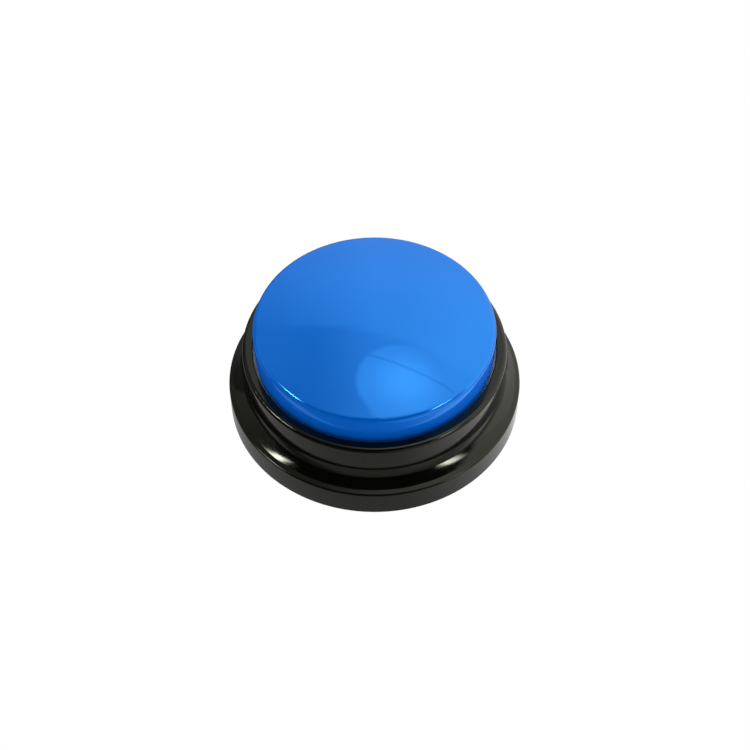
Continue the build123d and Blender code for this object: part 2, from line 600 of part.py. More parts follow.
with BuildPart() as capacitor:
    with BuildSketch(Plane.XY.offset(BOARD_TOP)):
        with Locations(CAPACITOR_POINT):
            Circle(CAPACITOR_SIZE[0])
    extrude(amount=CAPACITOR_SIZE[1])
    fillet(capacitor.faces().sort_by(Axis.Z)[-1].edges(), 0.3)
pieces["capacitor"] = capacitor

with BuildPart() as chip_resistors:
    with BuildSketch(Plane.XY.offset(BOARD_TOP)):
        with GridLocations(*RESISTOR_GRID):
            with Locations(RESISTOR_CENTRE):
                Rectangle(*RESISTOR_SIZE[:2])
    extrude(amount=RESISTOR_SIZE[2])
pieces["chip_resistors"] = chip_resistors


# ---------------------------------------------------------------- microphone
with BuildPart() as microphone:
    with BuildSketch(Plane.XY.offset(COVER_TOP)):
        with Locations(MICROPHONE_POINT):
            Circle(MICROPHONE_RADIUS)
    extrude(amount=MICROPHONE_HEIGHT)
    fillet(microphone.faces().sort_by(Axis.Z)[-1].edges(), 0.3)
pieces["microphone"] = microphone


# ---------------------------------------------------------------- speaker
with BuildPart() as speaker_frame:
    with BuildSketch(Plane.XZ):
        with BuildLine():
            Polyline(
                (SPEAKER_RADIUS, COVER_TOP),
                (SPEAKER_RADIUS, COVER_TOP + 0.8),
                (SPEAKER_RADIUS - 2.0, COVER_TOP + 0.8),
                (SPEAKER_RADIUS - 5.4, COVER_TOP + BASKET_HEIGHT),
                (0, COVER_TOP + BASKET_HEIGHT),
                (0, COVER_TOP + BASKET_HEIGHT - 0.6),
                (SPEAKER_RADIUS - 5.7, COVER_TOP + BASKET_HEIGHT - 0.6),
                (SPEAKER_RADIUS - 2.6, COVER_TOP + 0.5),
                (SPEAKER_RADIUS - 2.6, COVER_TOP),
                close=True,
            )
        make_face()
    revolve(axis=Axis.Z)
speaker_frame.part.position = (*SPEAKER_CENTRE, 0)
pieces["speaker_frame"] = speaker_frame

with BuildPart() as speaker_magnet:
    with BuildSketch(Plane.XY.offset(COVER_TOP + BASKET_HEIGHT)):
        with Locations(SPEAKER_CENTRE):
            Circle(MAGNET_SIZE[0])
    extrude(amount=MAGNET_SIZE[1])
    chamfer(speaker_magnet.faces().sort_by(Axis.Z)[-1].edges(), 0.5)
pieces["speaker_magnet"] = speaker_magnet

with BuildPart() as speaker_cone:
    with BuildSketch(Plane.XZ):
        with BuildLine():
            Polyline(
                (SPEAKER_RADIUS - 2.8, COVER_TOP + 0.1),
                (SPEAKER_RADIUS - 2.8, COVER_TOP + 0.4),
                (3.6, COVER_TOP + 3.0),
                (0, COVER_TOP + 2.2),
                (0, COVER_TOP + 1.9),
                (3.5, COVER_TOP + 2.65),
                close=True,
            )
        make_face()
    revolve(axis=Axis.Z)
speaker_cone.part.position = (*SPEAKER_CENTRE, 0)
pieces["speaker_cone"] = speaker_cone


# ---------------------------------------------------------------- leads from the board
def lead(points, corner_radii):
    """A round insulated lead along straight runs joined by tangent arcs."""
    with BuildPart() as strand:
        with BuildLine():
            route = FilletPolyline(*points, radius=corner_radii)
        with BuildSketch(Plane(origin=route @ 0, z_dir=route % 0)):
            Circle(LEAD_RADIUS)
        sweep(path=route)
    return strand


speaker_z = COVER_TOP + BASKET_HEIGHT
pieces["speaker_lead_red"] = lead(
    [(7.8, 18.8, speaker_z), (7.8, 18.8, 9.7), (12.7, 16.0, 12.3), (12.7, 16.0, BOARD_UNDERSIDE)],
    [1.7, 1.7],
)
pieces["speaker_lead_black"] = lead(
    [(-7.8, 18.8, speaker_z), (-7.8, 18.8, 10.0), (-12.3, 15.4, 12.3), (-12.3, 15.4, BOARD_UNDERSIDE)],
    [1.7, 1.7],
)
microphone_x, microphone_y = MICROPHONE_POINT
microphone_z = COVER_TOP + MICROPHONE_HEIGHT
for name, side in (("microphone_lead_red", 1.0), ("microphone_lead_black", -1.0)):
    board_x = microphone_x + 3.6
    board_y = microphone_y + 1.4 * side - 2.4
    pieces[name] = lead(
        [
            (microphone_x + 1.1, microphone_y + side, microphone_z),
            (microphone_x + 1.1, microphone_y + side, microphone_z + 3.4),
            (board_x, board_y, microphone_z + 6.4),
            (board_x, board_y, BOARD_UNDERSIDE),
        ],
        [1.7, 1.7],
    )


# ---------------------------------------------------------------- battery cells
for number, tip_side in ((1, -1), (2, 1)):
    # Cell 1 lies at the back with its positive tip to the left; cell 2 lies the other way round.
    cell_y = WELL_CENTRE_Y - tip_side * CELL_OFFSET_Y
    with BuildPart() as battery_cell:
        with BuildSketch(Plane.YZ.offset(tip_side * CELL_TAIL)):
            with Locations((cell_y, CELL_AXIS_Z)):
                Circle(CELL_RADIUS)
        extrude(amount=tip_side * (CELL_LENGTH - CELL_NUB))
        fillet(battery_cell.edges().filter_by(GeomType.CIRCLE), 0.4)
        with BuildSketch(Plane.YZ.offset(tip_side * (CELL_TIP - CELL_NUB))):
            with Locations((cell_y, CELL_AXIS_Z)):
                Circle(1.8)
        extrude(amount=tip_side * CELL_NUB)
    pieces[f"battery_cell_{number}"] = battery_cell


# ---------------------------------------------------------------- battery contacts
def contact_plate(side, y_centre, width, bumps, tail):
    """A sprung steel plate at one end of the well, with a bump for each positive tip."""
    with BuildPart() as plate:
        with BuildSketch(Plane.YZ.offset(side * (CONTACT_FACE + CONTACT_THICKNESS / 2))):
            with Locations((y_centre, CELL_AXIS_Z)):
                RectangleRounded(width, 8.4, 0.8)
        extrude(amount=CONTACT_THICKNESS / 2, both=True)
        for bump_y in bumps:
            with BuildSketch(Plane.YZ.offset(side * (CONTACT_FACE - CONTACT_BUMP / 2))):
                with Locations((bump_y, CELL_AXIS_Z)):
                    Circle(1.6)
            extrude(amount=CONTACT_BUMP / 2, both=True)
        if tail:
            tail_bottom = CELL_AXIS_Z + 3.9
            with BuildSketch(Plane.YZ.offset(side * (CONTACT_FACE + CONTACT_THICKNESS / 2))):
                with Locations((y_centre, (tail_bottom + BOARD_TOP) / 2)):
                    Rectangle(2.4, BOARD_TOP - tail_bottom)
            extrude(amount=CONTACT_THICKNESS / 2, both=True)
    return plate


def contact_spring(side, y_centre):
    """The coil that presses on a cell's flat end, standing on a contact plate."""
    length = CONTACT_FACE + CELL_TAIL - 2 * 0.3
    with BuildPart() as coil_part:
        with BuildLine():
            coil = Helix(
                pitch=length / 3.0,
                height=length,
                radius=2.4,
                center=(side * (CONTACT_FACE - 0.3), y_centre, CELL_AXIS_Z),
                direction=(-side, 0, 0),
            )
        with BuildSketch(Plane(origin=coil @ 0, z_dir=coil % 0)):
            Circle(0.25)
        sweep(path=coil, is_frenet=True)
    return coil_part


back_cell_y = WELL_CENTRE_Y + CELL_OFFSET_Y
front_cell_y = WELL_CENTRE_Y - CELL_OFFSET_Y
pieces["contact_link_plate"] = contact_plate(-1, WELL_CENTRE_Y, 20.4, [back_cell_y], False)
pieces["contact_positive"] = contact_plate(1, front_cell_y, 9.0, [front_cell_y], True)
pieces["contact_negative_plate"] = contact_plate(1, back_cell_y, 9.0, [], True)
pieces["contact_link_spring"] = contact_spring(-1, front_cell_y)
pieces["contact_negative_spring"] = contact_spring(1, back_cell_y)


# ---------------------------------------------------------------- battery door
with BuildPart() as battery_door:
    with BuildSketch(Plane.XY.offset(FOOT_DROP)):
        with Locations((0, (DOOR_BACK + DOOR_FRONT) / 2)):
            Rectangle(2 * (WELL_HALF_LENGTH - DOOR_GAP), DOOR_BACK - DOOR_FRONT)
        with Locations((0, TONGUE_Y)):
            Circle(DOOR_TONGUE_RADIUS)
    extrude(amount=DOOR_THICKNESS)
    # Two hooked tabs that lie on the cover behind the opening.
    stem_y = DOOR_BACK - TAB_STEM / 2
    hook_y = DOOR_BACK + TAB_HOOK_REACH - TAB_HOOK_LENGTH / 2
    with BuildSketch(Plane.XY.offset(FOOT_DROP)):
        with Locations((DOOR_TAB_X, stem_y), (-DOOR_TAB_X, stem_y)):
            Rectangle(DOOR_TAB_WIDTH, TAB_STEM)
    extrude(amount=COVER_TOP + TAB_LIFT + TAB_HOOK_THICKNESS - FOOT_DROP)
    with BuildSketch(Plane.XY.offset(COVER_TOP + TAB_LIFT)):
        with Locations((DOOR_TAB_X, hook_y), (-DOOR_TAB_X, hook_y)):
            Rectangle(DOOR_TAB_WIDTH, TAB_HOOK_LENGTH)
    extrude(amount=TAB_HOOK_THICKNESS)
    with BuildSketch(Plane.XY.offset(FOOT_DROP)):
        with Locations((0, TONGUE_Y)):
            Circle(DOOR_SCREW_HEAD[0] + 0.2)
    extrude(amount=DOOR_SCREW_SEAT, mode=Mode.SUBTRACT)
    with BuildSketch(Plane.XY.offset(FOOT_DROP)):
        with Locations((0, TONGUE_Y)):
            Circle(DOOR_SCREW_SHANK[0] + 0.1)
    extrude(amount=DOOR_THICKNESS, mode=Mode.SUBTRACT)
    # Finger grooves under the door.
    with BuildSketch(Plane.XY.offset(FOOT_DROP)):
        with Locations((0, GROOVE_CENTRE_Y)):
            with GridLocations(0, GROOVE_PITCH, 1, GROOVE_COUNT):
                Rectangle(*GROOVE_SIZE[:2])
    extrude(amount=GROOVE_SIZE[2], mode=Mode.SUBTRACT)
pieces["battery_door"] = battery_door

with BuildPart() as door_pad:
    with BuildSketch(Plane.XY.offset(DOOR_TOP)):
        with Locations((0, WELL_CENTRE_Y)):
            RectangleRounded(*DOOR_PAD_SIZE[:2], 1.5)
    extrude(amount=DOOR_PAD_SIZE[2])
pieces["door_pad"] = door_pad


# ---------------------------------------------------------------- export
os.makedirs("parts", exist_ok=True)
for name, piece in pieces.items():
    piece.part.label = name
    export_step(piece.part, f"parts/{name}.step")
    print(f"{name}: {piece.part.volume:.1f} mm3")
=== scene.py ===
"""The quiz buzzer's looks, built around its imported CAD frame.

Everything is in metres, +Z up, -Y the front.
"""

import json
from math import cos, radians, sin

import bpy
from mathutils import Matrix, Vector


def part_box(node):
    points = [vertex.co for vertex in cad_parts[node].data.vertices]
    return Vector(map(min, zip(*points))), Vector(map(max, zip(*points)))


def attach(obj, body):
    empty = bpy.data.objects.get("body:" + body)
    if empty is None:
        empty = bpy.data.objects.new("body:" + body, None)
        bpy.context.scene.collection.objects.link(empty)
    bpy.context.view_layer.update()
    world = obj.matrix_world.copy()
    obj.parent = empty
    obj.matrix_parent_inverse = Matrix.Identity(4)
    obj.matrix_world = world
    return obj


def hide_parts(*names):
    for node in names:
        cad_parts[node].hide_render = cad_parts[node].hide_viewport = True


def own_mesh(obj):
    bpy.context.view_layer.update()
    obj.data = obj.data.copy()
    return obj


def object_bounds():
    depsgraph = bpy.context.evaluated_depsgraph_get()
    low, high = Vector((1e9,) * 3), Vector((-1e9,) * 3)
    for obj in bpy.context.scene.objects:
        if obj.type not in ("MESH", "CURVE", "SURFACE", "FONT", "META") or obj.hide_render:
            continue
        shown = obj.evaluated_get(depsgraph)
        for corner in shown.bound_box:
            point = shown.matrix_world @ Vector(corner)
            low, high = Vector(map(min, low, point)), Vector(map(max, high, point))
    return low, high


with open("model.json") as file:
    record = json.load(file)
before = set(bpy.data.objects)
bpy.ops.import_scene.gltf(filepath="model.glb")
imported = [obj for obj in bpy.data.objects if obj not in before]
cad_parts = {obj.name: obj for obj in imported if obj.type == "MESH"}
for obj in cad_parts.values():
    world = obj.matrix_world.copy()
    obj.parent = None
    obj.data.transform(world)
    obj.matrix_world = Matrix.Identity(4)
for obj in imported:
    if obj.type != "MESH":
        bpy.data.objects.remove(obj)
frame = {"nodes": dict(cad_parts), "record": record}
CAD_BOX = [list(corner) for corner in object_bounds()]
BOTTOM = CAD_BOX[0][2]
MM = 0.001

# ---------------------------------------------------------------- camera
CAMERA_DISTANCE = 0.450  # from the aim point, a point on the axis just above the outer wall
CAMERA_ELEVATION = radians(51.16)
CAMERA_PITCH = radians(51.41)
CAMERA_LENS = 70.0
AIM_HEIGHT = 0.0128


def add_camera():
    data = bpy.data.cameras.new("camera")
    data.lens = CAMERA_LENS
    data.sensor_width = 36.0
    data.clip_start = 0.01
    data.clip_end = 20.0
    data.shift_x = 0.00064
    camera = bpy.data.objects.new("camera", data)
    bpy.context.scene.collection.objects.link(camera)
    camera.location = (
        0,
        -CAMERA_DISTANCE * cos(CAMERA_ELEVATION),
        AIM_HEIGHT + CAMERA_DISTANCE * sin(CAMERA_ELEVATION),
    )
    camera.rotation_euler = (radians(90) - CAMERA_PITCH, 0, 0)
    bpy.context.scene.camera = camera


# ---------------------------------------------------------------- node helpers
class Nodes:
    """Nodes of one tree, written as calls. Every method gives back an output socket."""

    def __init__(self, tree):
        self.tree = tree

    def node(self, kind, **settings):
        made = self.tree.nodes.new(kind)
        for key, value in settings.items():
            setattr(made, key, value)
        return made

    def feed(self, value, socket):
        if isinstance(value, bpy.types.NodeSocket):
            self.tree.links.new(value, socket)
        else:
            socket.default_value = value

    def math(self, operation, first, second=0.0):
        made = self.node("ShaderNodeMath", operation=operation)
        self.feed(first, made.inputs[0])
        self.feed(second, made.inputs[1])
        return made.outputs[0]

    def add(self, first, second):
        return self.math("ADD", first, second)

    def subtract(self, first, second):
        return self.math("SUBTRACT", first, second)

    def times(self, first, second):
        return self.math("MULTIPLY", first, second)

    def divide(self, first, second):
        return self.math("DIVIDE", first, second)

    def between(self, value, low, high, low_result=0.0, high_result=1.0, smooth=True):
        """low_result where the value is low or less, high_result where it is high or more."""
        made = self.node("ShaderNodeMapRange", interpolation_type="SMOOTHSTEP" if smooth else "LINEAR")
        made.inputs["From Min"].default_value = low
        made.inputs["From Max"].default_value = high
        made.inputs["To Min"].default_value = low_result
        made.inputs["To Max"].default_value = high_result
        self.feed(value, made.inputs["Value"])
        return made.outputs["Result"]

    def length(self, *parts):
        """The length of the vector that has these parts."""
        squares = [self.times(part, part) for part in parts]
        total = squares[0]
        for square in squares[1:]:
            total = self.add(total, square)
        return self.math("SQRT", total)

    def xyz(self, vector):
        made = self.node("ShaderNodeSeparateXYZ")
        self.feed(vector, made.inputs[0])
        return made.outputs


class Material(Nodes):
    """A Principled material that is put together one layer of detail at a time."""

    def __init__(self, name, base, roughness, **sockets):
        self.material = bpy.data.materials.new(name)
        self.material.use_nodes = True
        super().__init__(self.material.node_tree)
        self.shader = self.tree.nodes["Principled BSDF"]
        self.shader.inputs["Base Color"].default_value = (*base, 1.0)
        self.shader.inputs["Roughness"].default_value = roughness
        for socket, value in sockets.items():
            self.shader.inputs[socket.replace("_", " ")].default_value = value
        self.place = self.node("ShaderNodeTexCoord").outputs["Object"]

    def stretched(self, scale, centre=(0, 0, 0)):
        """The object's own coordinates, measured from a centre and stretched."""
        mapping = self.node("ShaderNodeMapping")
        mapping.inputs["Location"].default_value = [-c * s for c, s in zip(centre, scale)]
        mapping.inputs["Scale"].default_value = scale
        self.feed(self.place, mapping.inputs["Vector"])
        return mapping.outputs["Vector"]

    def noise(self, size, detail=3.0, stretch=None):
        """A noise from 0 to 1 whose lumps are about this size in metres."""
        texture = self.node("ShaderNodeTexNoise")
        texture.inputs["Scale"].default_value = 1 / size
        texture.inputs["Detail"].default_value = detail
        self.feed(self.stretched(stretch) if stretch else self.place, texture.inputs["Vector"])
        return texture.outputs["Fac"]

    def grains(self, size):
        """Cells about this size in metres: 0 at each cell's middle."""
        texture = self.node("ShaderNodeTexVoronoi")
        texture.inputs["Scale"].default_value = 1 / size
        self.feed(self.place, texture.inputs["Vector"])
        return texture.outputs["Distance"]

    def vary_roughness(self, value, low, high):
        self.feed(self.between(value, 0.35, 0.65, low, high, smooth=False), self.shader.inputs["Roughness"])

    def mix(self, factor, first, second):
        made = self.node("ShaderNodeMix", data_type="RGBA")
        self.feed(factor, made.inputs["Factor"])
        for value, socket in ((first, made.inputs["A"]), (second, made.inputs["B"])):
            self.feed((*value, 1.0) if isinstance(value, tuple) else value, socket)
        return made.outputs["Result"]

    def colour(self, socket):
        self.feed(socket, self.shader.inputs["Base Color"])

    def vary_colour(self, value, dark, light):
        self.colour(self.mix(self.between(value, 0.3, 0.7, smooth=False), dark, light))

    def bump(self, height, depth, strength=1.0):
        """Raises the surface by up to this depth in metres."""
        made = self.node("ShaderNodeBump")
        made.inputs["Strength"].default_value = strength
        made.inputs["Distance"].default_value = depth
        self.feed(height, made.inputs["Height"])
        self.feed(made.outputs["Normal"], self.shader.inputs["Normal"])


def scaled(colour, factor):
    return tuple(channel * factor for channel in colour)


# ---------------------------------------------------------------- outer plastics
def housing_black():
    """High-gloss black ABS: a faint moulding ripple, and a haze of fine handling marks.

    The tint and the index of refraction are tuned to this studio, and aren't those of real ABS.
    """
    made = Material("housing_black", (0.0024, 0.0025, 0.0018), 0.09, IOR=1.4)
    made.shader.inputs["Specular Tint"].default_value = (0.98, 1.0, 0.82, 1.0)
    marks = made.noise(4 * MM, 5.0, stretch=(1.0, 1.0, 3.0))
    made.vary_roughness(marks, 0.075, 0.115)
    made.vary_colour(made.noise(9 * MM), (0.0021, 0.0022, 0.0016), (0.0028, 0.0029, 0.0021))
    made.bump(made.noise(6 * MM, 1.0), 0.006 * MM)
    return made.material


def button_blue():
    """High-gloss blue ABS, whose reflections take on its colour.

    The tint and the index of refraction, about twice that of real ABS, are tuned to this studio.
    """
    made = Material("button_blue", (0.002, 0.160, 0.80), 0.03, IOR=3.0)
    made.shader.inputs["Specular Tint"].default_value = (0.07, 0.415, 1.0, 1.0)
    made.vary_roughness(made.noise(5 * MM, 5.0), 0.025, 0.045)
    made.vary_colour(made.noise(12 * MM), (0.002, 0.157, 0.785), (0.002, 0.163, 0.815))
    made.bump(made.noise(7 * MM, 1.0), 0.004 * MM)
    return made.material


def cover_black():
    """Black ABS from a spark-eroded mould: a fine even grain, polished a little where it is handled."""
    made = Material("cover_black", (0.016, 0.016, 0.017), 0.5)
    made.vary_roughness(made.noise(8 * MM), 0.42, 0.56)
    made.vary_colour(made.noise(0.5 * MM), (0.013, 0.013, 0.014), (0.021, 0.021, 0.022))
    made.bump(made.grains(0.35 * MM), 0.03 * MM, 0.6)
    return made.material


def record_red():
    made = Material("record_red", (0.6, 0.03, 0.02), 0.22)
    made.vary_roughness(made.noise(2 * MM, 5.0), 0.18, 0.28)
    made.vary_colour(made.noise(4 * MM), (0.55, 0.025, 0.018), (0.63, 0.033, 0.022))
    made.bump(made.noise(3 * MM, 1.0), 0.006 * MM)
    return made.material


def carrier_white():
    """White ABS with the pale flow marks of an inner moulding."""
    made = Material("carrier_white", (0.8, 0.8, 0.78), 0.4)
    made.vary_roughness(made.noise(3 * MM, 4.0), 0.34, 0.46)
    made.vary_colour(made.noise(14 * MM, 2.0), (0.76, 0.76, 0.73), (0.83, 0.83, 0.81))
    made.bump(made.noise(0.6 * MM), 0.01 * MM)
    return made.material


def rubber_dark():
    made = Material("rubber_dark", (0.03, 0.03, 0.03), 0.8)
    made.vary_roughness(made.noise(1.5 * MM, 5.0), 0.72, 0.9)
    made.vary_colour(made.noise(2.5 * MM, 5.0), (0.022, 0.022, 0.022), (0.045, 0.044, 0.042))
    made.bump(made.noise(0.25 * MM), 0.03 * MM, 0.7)
    return made.material


def foam_grey():
    """Closed-cell foam: a skin of small open cells."""
    made = Material("foam_grey", (0.25, 0.25, 0.25), 0.95)
    cells = made.grains(0.5 * MM)
    made.vary_colour(cells, (0.12, 0.12, 0.12), (0.3, 0.3, 0.3))
    made.vary_roughness(made.noise(1 * MM), 0.9, 1.0)
    made.bump(cells, 0.12 * MM, 0.8)
    return made.material


# ---------------------------------------------------------------- metals
def metal(name, base, low, high, lay, **sockets):
    """Bare metal, with marks that are drawn out along one way: lay holds each axis's stretch."""
    made = Material(name, base, low, Metallic=1.0, **sockets)
    marks = made.noise(0.6 * MM, 5.0, stretch=lay)
    made.vary_roughness(marks, low, high)
    made.vary_colour(made.noise(3 * MM), scaled(base, 0.88), scaled(base, 1.06))
    made.bump(marks, 0.01 * MM, 0.5)
    return made


def screw_steel():
    return metal("screw_steel", (0.55, 0.55, 0.56), 0.26, 0.42, (1.0, 1.0, 4.0)).material


def spring_steel():
    return metal("spring_steel", (0.6, 0.6, 0.6), 0.18, 0.32, (1.0, 1.0, 6.0)).material


def contact_nickel():
    return metal("contact_nickel", (0.75, 0.74, 0.7), 0.1, 0.24, (1.0, 1.0, 0.2)).material


def microphone_can():
    return metal("microphone_can", (0.75, 0.75, 0.75), 0.22, 0.38, (1.0, 1.0, 8.0)).material


def speaker_steel():
    return metal("speaker_steel", (0.5, 0.5, 0.48), 0.3, 0.5, (1.0, 1.0, 3.0)).material


# ---------------------------------------------------------------- inside
def board_green():
    """A green solder mask over copper tracks: thin lines that run across and along, broken into lengths."""
    made = Material("board_green", (0.02, 0.16, 0.06), 0.35)
    x, y, _ = made.xyz(made.place)
    pitch = 1.9 * MM
    tracks = []
    for value, stretch in ((x, (1.0, 0.15, 1.0)), (y, (0.15, 1.0, 1.0))):
        off_line = made.math("PINGPONG", value, pitch / 2)
        line = made.between(off_line, 0.22 * MM, 0.3 * MM, 1.0, 0.0)
        lengths = made.between(made.noise(4.5 * MM, 0.0, stretch=stretch), 0.52, 0.54)
        tracks.append(made.times(line, lengths))
    track = made.math("MAXIMUM", *tracks)
    mask = made.mix(made.noise(6 * MM), (0.012, 0.11, 0.04), (0.02, 0.15, 0.055))
    made.colour(made.mix(track, mask, (0.05, 0.27, 0.10)))
    made.vary_roughness(made.noise(2 * MM, 4.0), 0.28, 0.4)
    made.bump(track, 0.035 * MM)
    return made.material


def switch_black():
    made = Material("switch_black", (0.02, 0.02, 0.02), 0.45)
    made.vary_roughness(made.noise(1 * MM), 0.38, 0.52)
    made.vary_colour(made.noise(1.5 * MM), (0.016, 0.016, 0.016), (0.026, 0.026, 0.026))
    made.bump(made.noise(0.2 * MM), 0.012 * MM)
    return made.material


def switch_stem():
    made = Material("switch_stem", (0.7, 0.68, 0.6), 0.4)
    made.vary_roughness(made.noise(0.7 * MM), 0.34, 0.48)
    made.vary_colour(made.noise(1.2 * MM), (0.64, 0.62, 0.54), (0.74, 0.72, 0.64))
    made.bump(made.noise(0.3 * MM), 0.01 * MM)
    return made.material


def epoxy_black():
    """Potting compound that set as a blob: glossy, with slow waves and a few dull spots."""
    made = Material("epoxy_black", (0.008, 0.008, 0.008), 0.18)
    made.vary_roughness(made.noise(1.2 * MM, 4.0), 0.12, 0.34)
    made.vary_colour(made.noise(2 * MM), (0.006, 0.006, 0.006), (0.012, 0.012, 0.012))
    made.bump(made.noise(2.2 * MM, 2.0), 0.12 * MM, 0.6)
    return made.material


def capacitor_sleeve():
    """A dark shrink sleeve with a pale stripe down the negative side and a bare aluminium top."""
    low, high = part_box("capacitor")
    made = Material("capacitor_sleeve", (0.02, 0.03, 0.12), 0.3)
    x, y, z = made.xyz(made.place)
    centre = (low + high) / 2
    stripe = made.between(made.subtract(x, centre.x), 1.9 * MM, 2.0 * MM)
    from_axis = made.length(made.subtract(x, centre.x), made.subtract(y, centre.y))
    top = made.times(
        made.between(from_axis, 1.9 * MM, 2.0 * MM, 1.0, 0.0),
        made.between(z, high.z - 0.1 * MM, high.z - 0.05 * MM),
    )
    sleeve = made.mix(made.noise(1 * MM), (0.016, 0.025, 0.10), (0.024, 0.035, 0.14))
    made.colour(made.mix(top, made.mix(stripe, sleeve, (0.45, 0.47, 0.5)), (0.7, 0.7, 0.7)))
    made.feed(top, made.shader.inputs["Metallic"])
    made.vary_roughness(made.noise(1 * MM, 4.0), 0.24, 0.36)
    made.bump(made.noise(0.8 * MM), 0.01 * MM)
    return made.material


def resistor_black():
    """Black ceramic chips with tinned ends."""
    low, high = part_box("chip_resistors")
    made = Material("resistor_black", (0.03, 0.03, 0.03), 0.4)
    x, _, _ = made.xyz(made.place)
    chip, pitch = 1.6 * MM, 3.2 * MM
    along = made.math("WRAP", made.subtract(x, low.x), 0.0)
    along.node.inputs[2].default_value = pitch
    from_middle = made.math("ABSOLUTE", made.subtract(along, chip / 2))
    end = made.between(from_middle, 0.50 * MM, 0.52 * MM)
    made.colour(made.mix(end, made.mix(made.noise(0.4 * MM), (0.02, 0.02, 0.02), (0.04, 0.04, 0.04)),
                         (0.7, 0.7, 0.68)))
    made.feed(end, made.shader.inputs["Metallic"])
    made.vary_roughness(made.noise(0.3 * MM), 0.3, 0.5)
    made.bump(made.noise(0.2 * MM), 0.01 * MM)
    return made.material


def speaker_magnet():
    """Pressed ferrite: dark grey, with pale specks and small chips in its surface."""
    made = Material("speaker_magnet", (0.06, 0.06, 0.065), 0.6)
    made.vary_roughness(made.noise(1 * MM, 5.0), 0.5, 0.72)
    made.vary_colour(made.noise(0.3 * MM, 4.0), (0.04, 0.04, 0.045), (0.09, 0.09, 0.095))
    made.bump(made.noise(0.5 * MM, 5.0), 0.05 * MM, 0.6)
    return made.material


def speaker_paper():
    """Black pulp paper, with short fibres lying every way."""
    made = Material("speaker_paper", (0.03, 0.03, 0.03), 0.9)
    fibres = made.math("MAXIMUM", made.noise(0.8 * MM, 4.0, stretch=(1.0, 6.0, 1.0)),
                       made.noise(0.8 * MM, 4.0, stretch=(6.0, 1.0, 1.0)))
    made.vary_colour(fibres, (0.02, 0.02, 0.02), (0.06, 0.058, 0.055))
    made.vary_roughness(fibres, 0.82, 0.97)
    made.bump(fibres, 0.05 * MM, 0.7)
    return made.material


def lead(name, base):
    """Soft PVC insulation."""
    made = Material(name, base, 0.38)
    made.vary_roughness(made.noise(0.8 * MM, 4.0), 0.3, 0.48)
    made.vary_colour(made.noise(1.5 * MM), scaled(base, 0.8), scaled(base, 1.1))
    made.bump(made.noise(0.5 * MM), 0.02 * MM, 0.5)
    return made.material


def lead_red():
    return lead("lead_red", (0.6, 0.02, 0.02))


def lead_black():
    return lead("lead_black", (0.015, 0.015, 0.015))


def cell_jacket(node):
    """A plain printed jacket with a copper-coloured band at the positive end, and bare steel end caps."""
    low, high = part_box(node)
    centre = (low + high) / 2
    tip_side = -1.0 if node.endswith("1") else 1.0
    made = Material(node + "_jacket", (0.05, 0.3, 0.12), 0.25)
    x, y, z = made.xyz(made.place)
    towards_tip = made.times(made.subtract(x, centre.x), tip_side)
    from_axis = made.length(made.subtract(y, centre.y), made.subtract(z, centre.z))
    band = made.between(towards_tip, 11.0 * MM, 11.2 * MM)
    bare = made.between(from_axis, 4.7 * MM, 4.8 * MM, 1.0, 0.0)
    jacket = made.mix(made.noise(5 * MM), (0.03, 0.20, 0.08), (0.04, 0.25, 0.10))
    printed = made.mix(band, jacket, (0.60, 0.30, 0.12))
    made.colour(made.mix(bare, printed, (0.62, 0.62, 0.60)))
    made.feed(made.math("MAXIMUM", bare, made.times(band, 0.85)), made.shader.inputs["Metallic"])
    made.vary_roughness(made.noise(3 * MM, 5.0), 0.2, 0.34)
    made.bump(made.noise(4 * MM, 2.0), 0.01 * MM)
    return made.material


FINISHES = [
    housing_black, button_blue, cover_black, record_red, carrier_white, rubber_dark, foam_grey, screw_steel,
    spring_steel, contact_nickel, microphone_can, speaker_steel, board_green, switch_black, switch_stem,
    epoxy_black, capacitor_sleeve, resistor_black, speaker_magnet, speaker_paper, lead_red, lead_black,
]


def finish_nodes():
    """Gives every CAD node the material that its slot in the record names."""
    made = {finish.__name__: finish() for finish in FINISHES}
    for part in frame["record"]["subparts"]:
        node, slot = part["node"], part["material_slot"]
        materials = frame["nodes"][node].data.materials
        materials.clear()
        materials.append(cell_jacket(node) if slot == "cell_jacket" else made[slot])


# ---------------------------------------------------------------- studio
# The studio is tuned to the photograph's angle and isn't physical: reflections see a room of soft lights,
# given by direction, while matt surfaces get an even light of their own and the camera sees plain white.
# Places in the room above are named by where they meet a level plane overhead: across is x / z and along
# is y / z.
LIGHT_SCALE = 1.5
EVEN_LIGHT = 0.92  # the even light that matt surfaces get, from everywhere but low in front
SOFTBOX_CENTRE = (0.172, 0.254)
SOFTBOX_RADIUS = 0.27
SOFTBOX_EDGE = 0.02  # half the width of its soft edge
STRUT_ACROSS, STRUT_ALONG, STRUT_OFFSET = 0.365, 0.931, 0.390  # the line of the strut overhead
CEILING_EDGE, CEILING_SLANT = 0.62, 0.40  # where the ceiling meets the wall, and how that line slants
PANEL_LIGHT = 0.28
HORIZON_LIGHT = 0.10
LEFT_LAMP = (-0.774, -0.147, 0.616)
LEFT_LAMP_LIGHT = 34.0
RIGHT_LAMP = (0.723, -0.431, 0.540)
RIGHT_LAMP_LIGHT = 24.0
LAMP_HALF_LENGTH = 14.0  # the lamps' size as seen from the object, in degrees
LAMP_HALF_HEIGHT = 3.4
FLOOR_SIZE = 6.0
FLOOR_GAP = 0.1 * MM
FLOOR_SEEN = 0.42  # how bright the floor's disc and ring are in the object's own reflections
FLOOR_FAR = 0.06  # and the rest of the floor
FLOOR_RIGHT = 0.75  # how much brighter it is to the right
FLOOR_LIGHT = 1.0  # how strongly it lights matt surfaces
DISC_EDGE = (57.2 * MM, 58.2 * MM)  # the disc's and the ring's edges, each from where to where it fades
RING_INNER_EDGE = (60.2 * MM, 61.2 * MM)
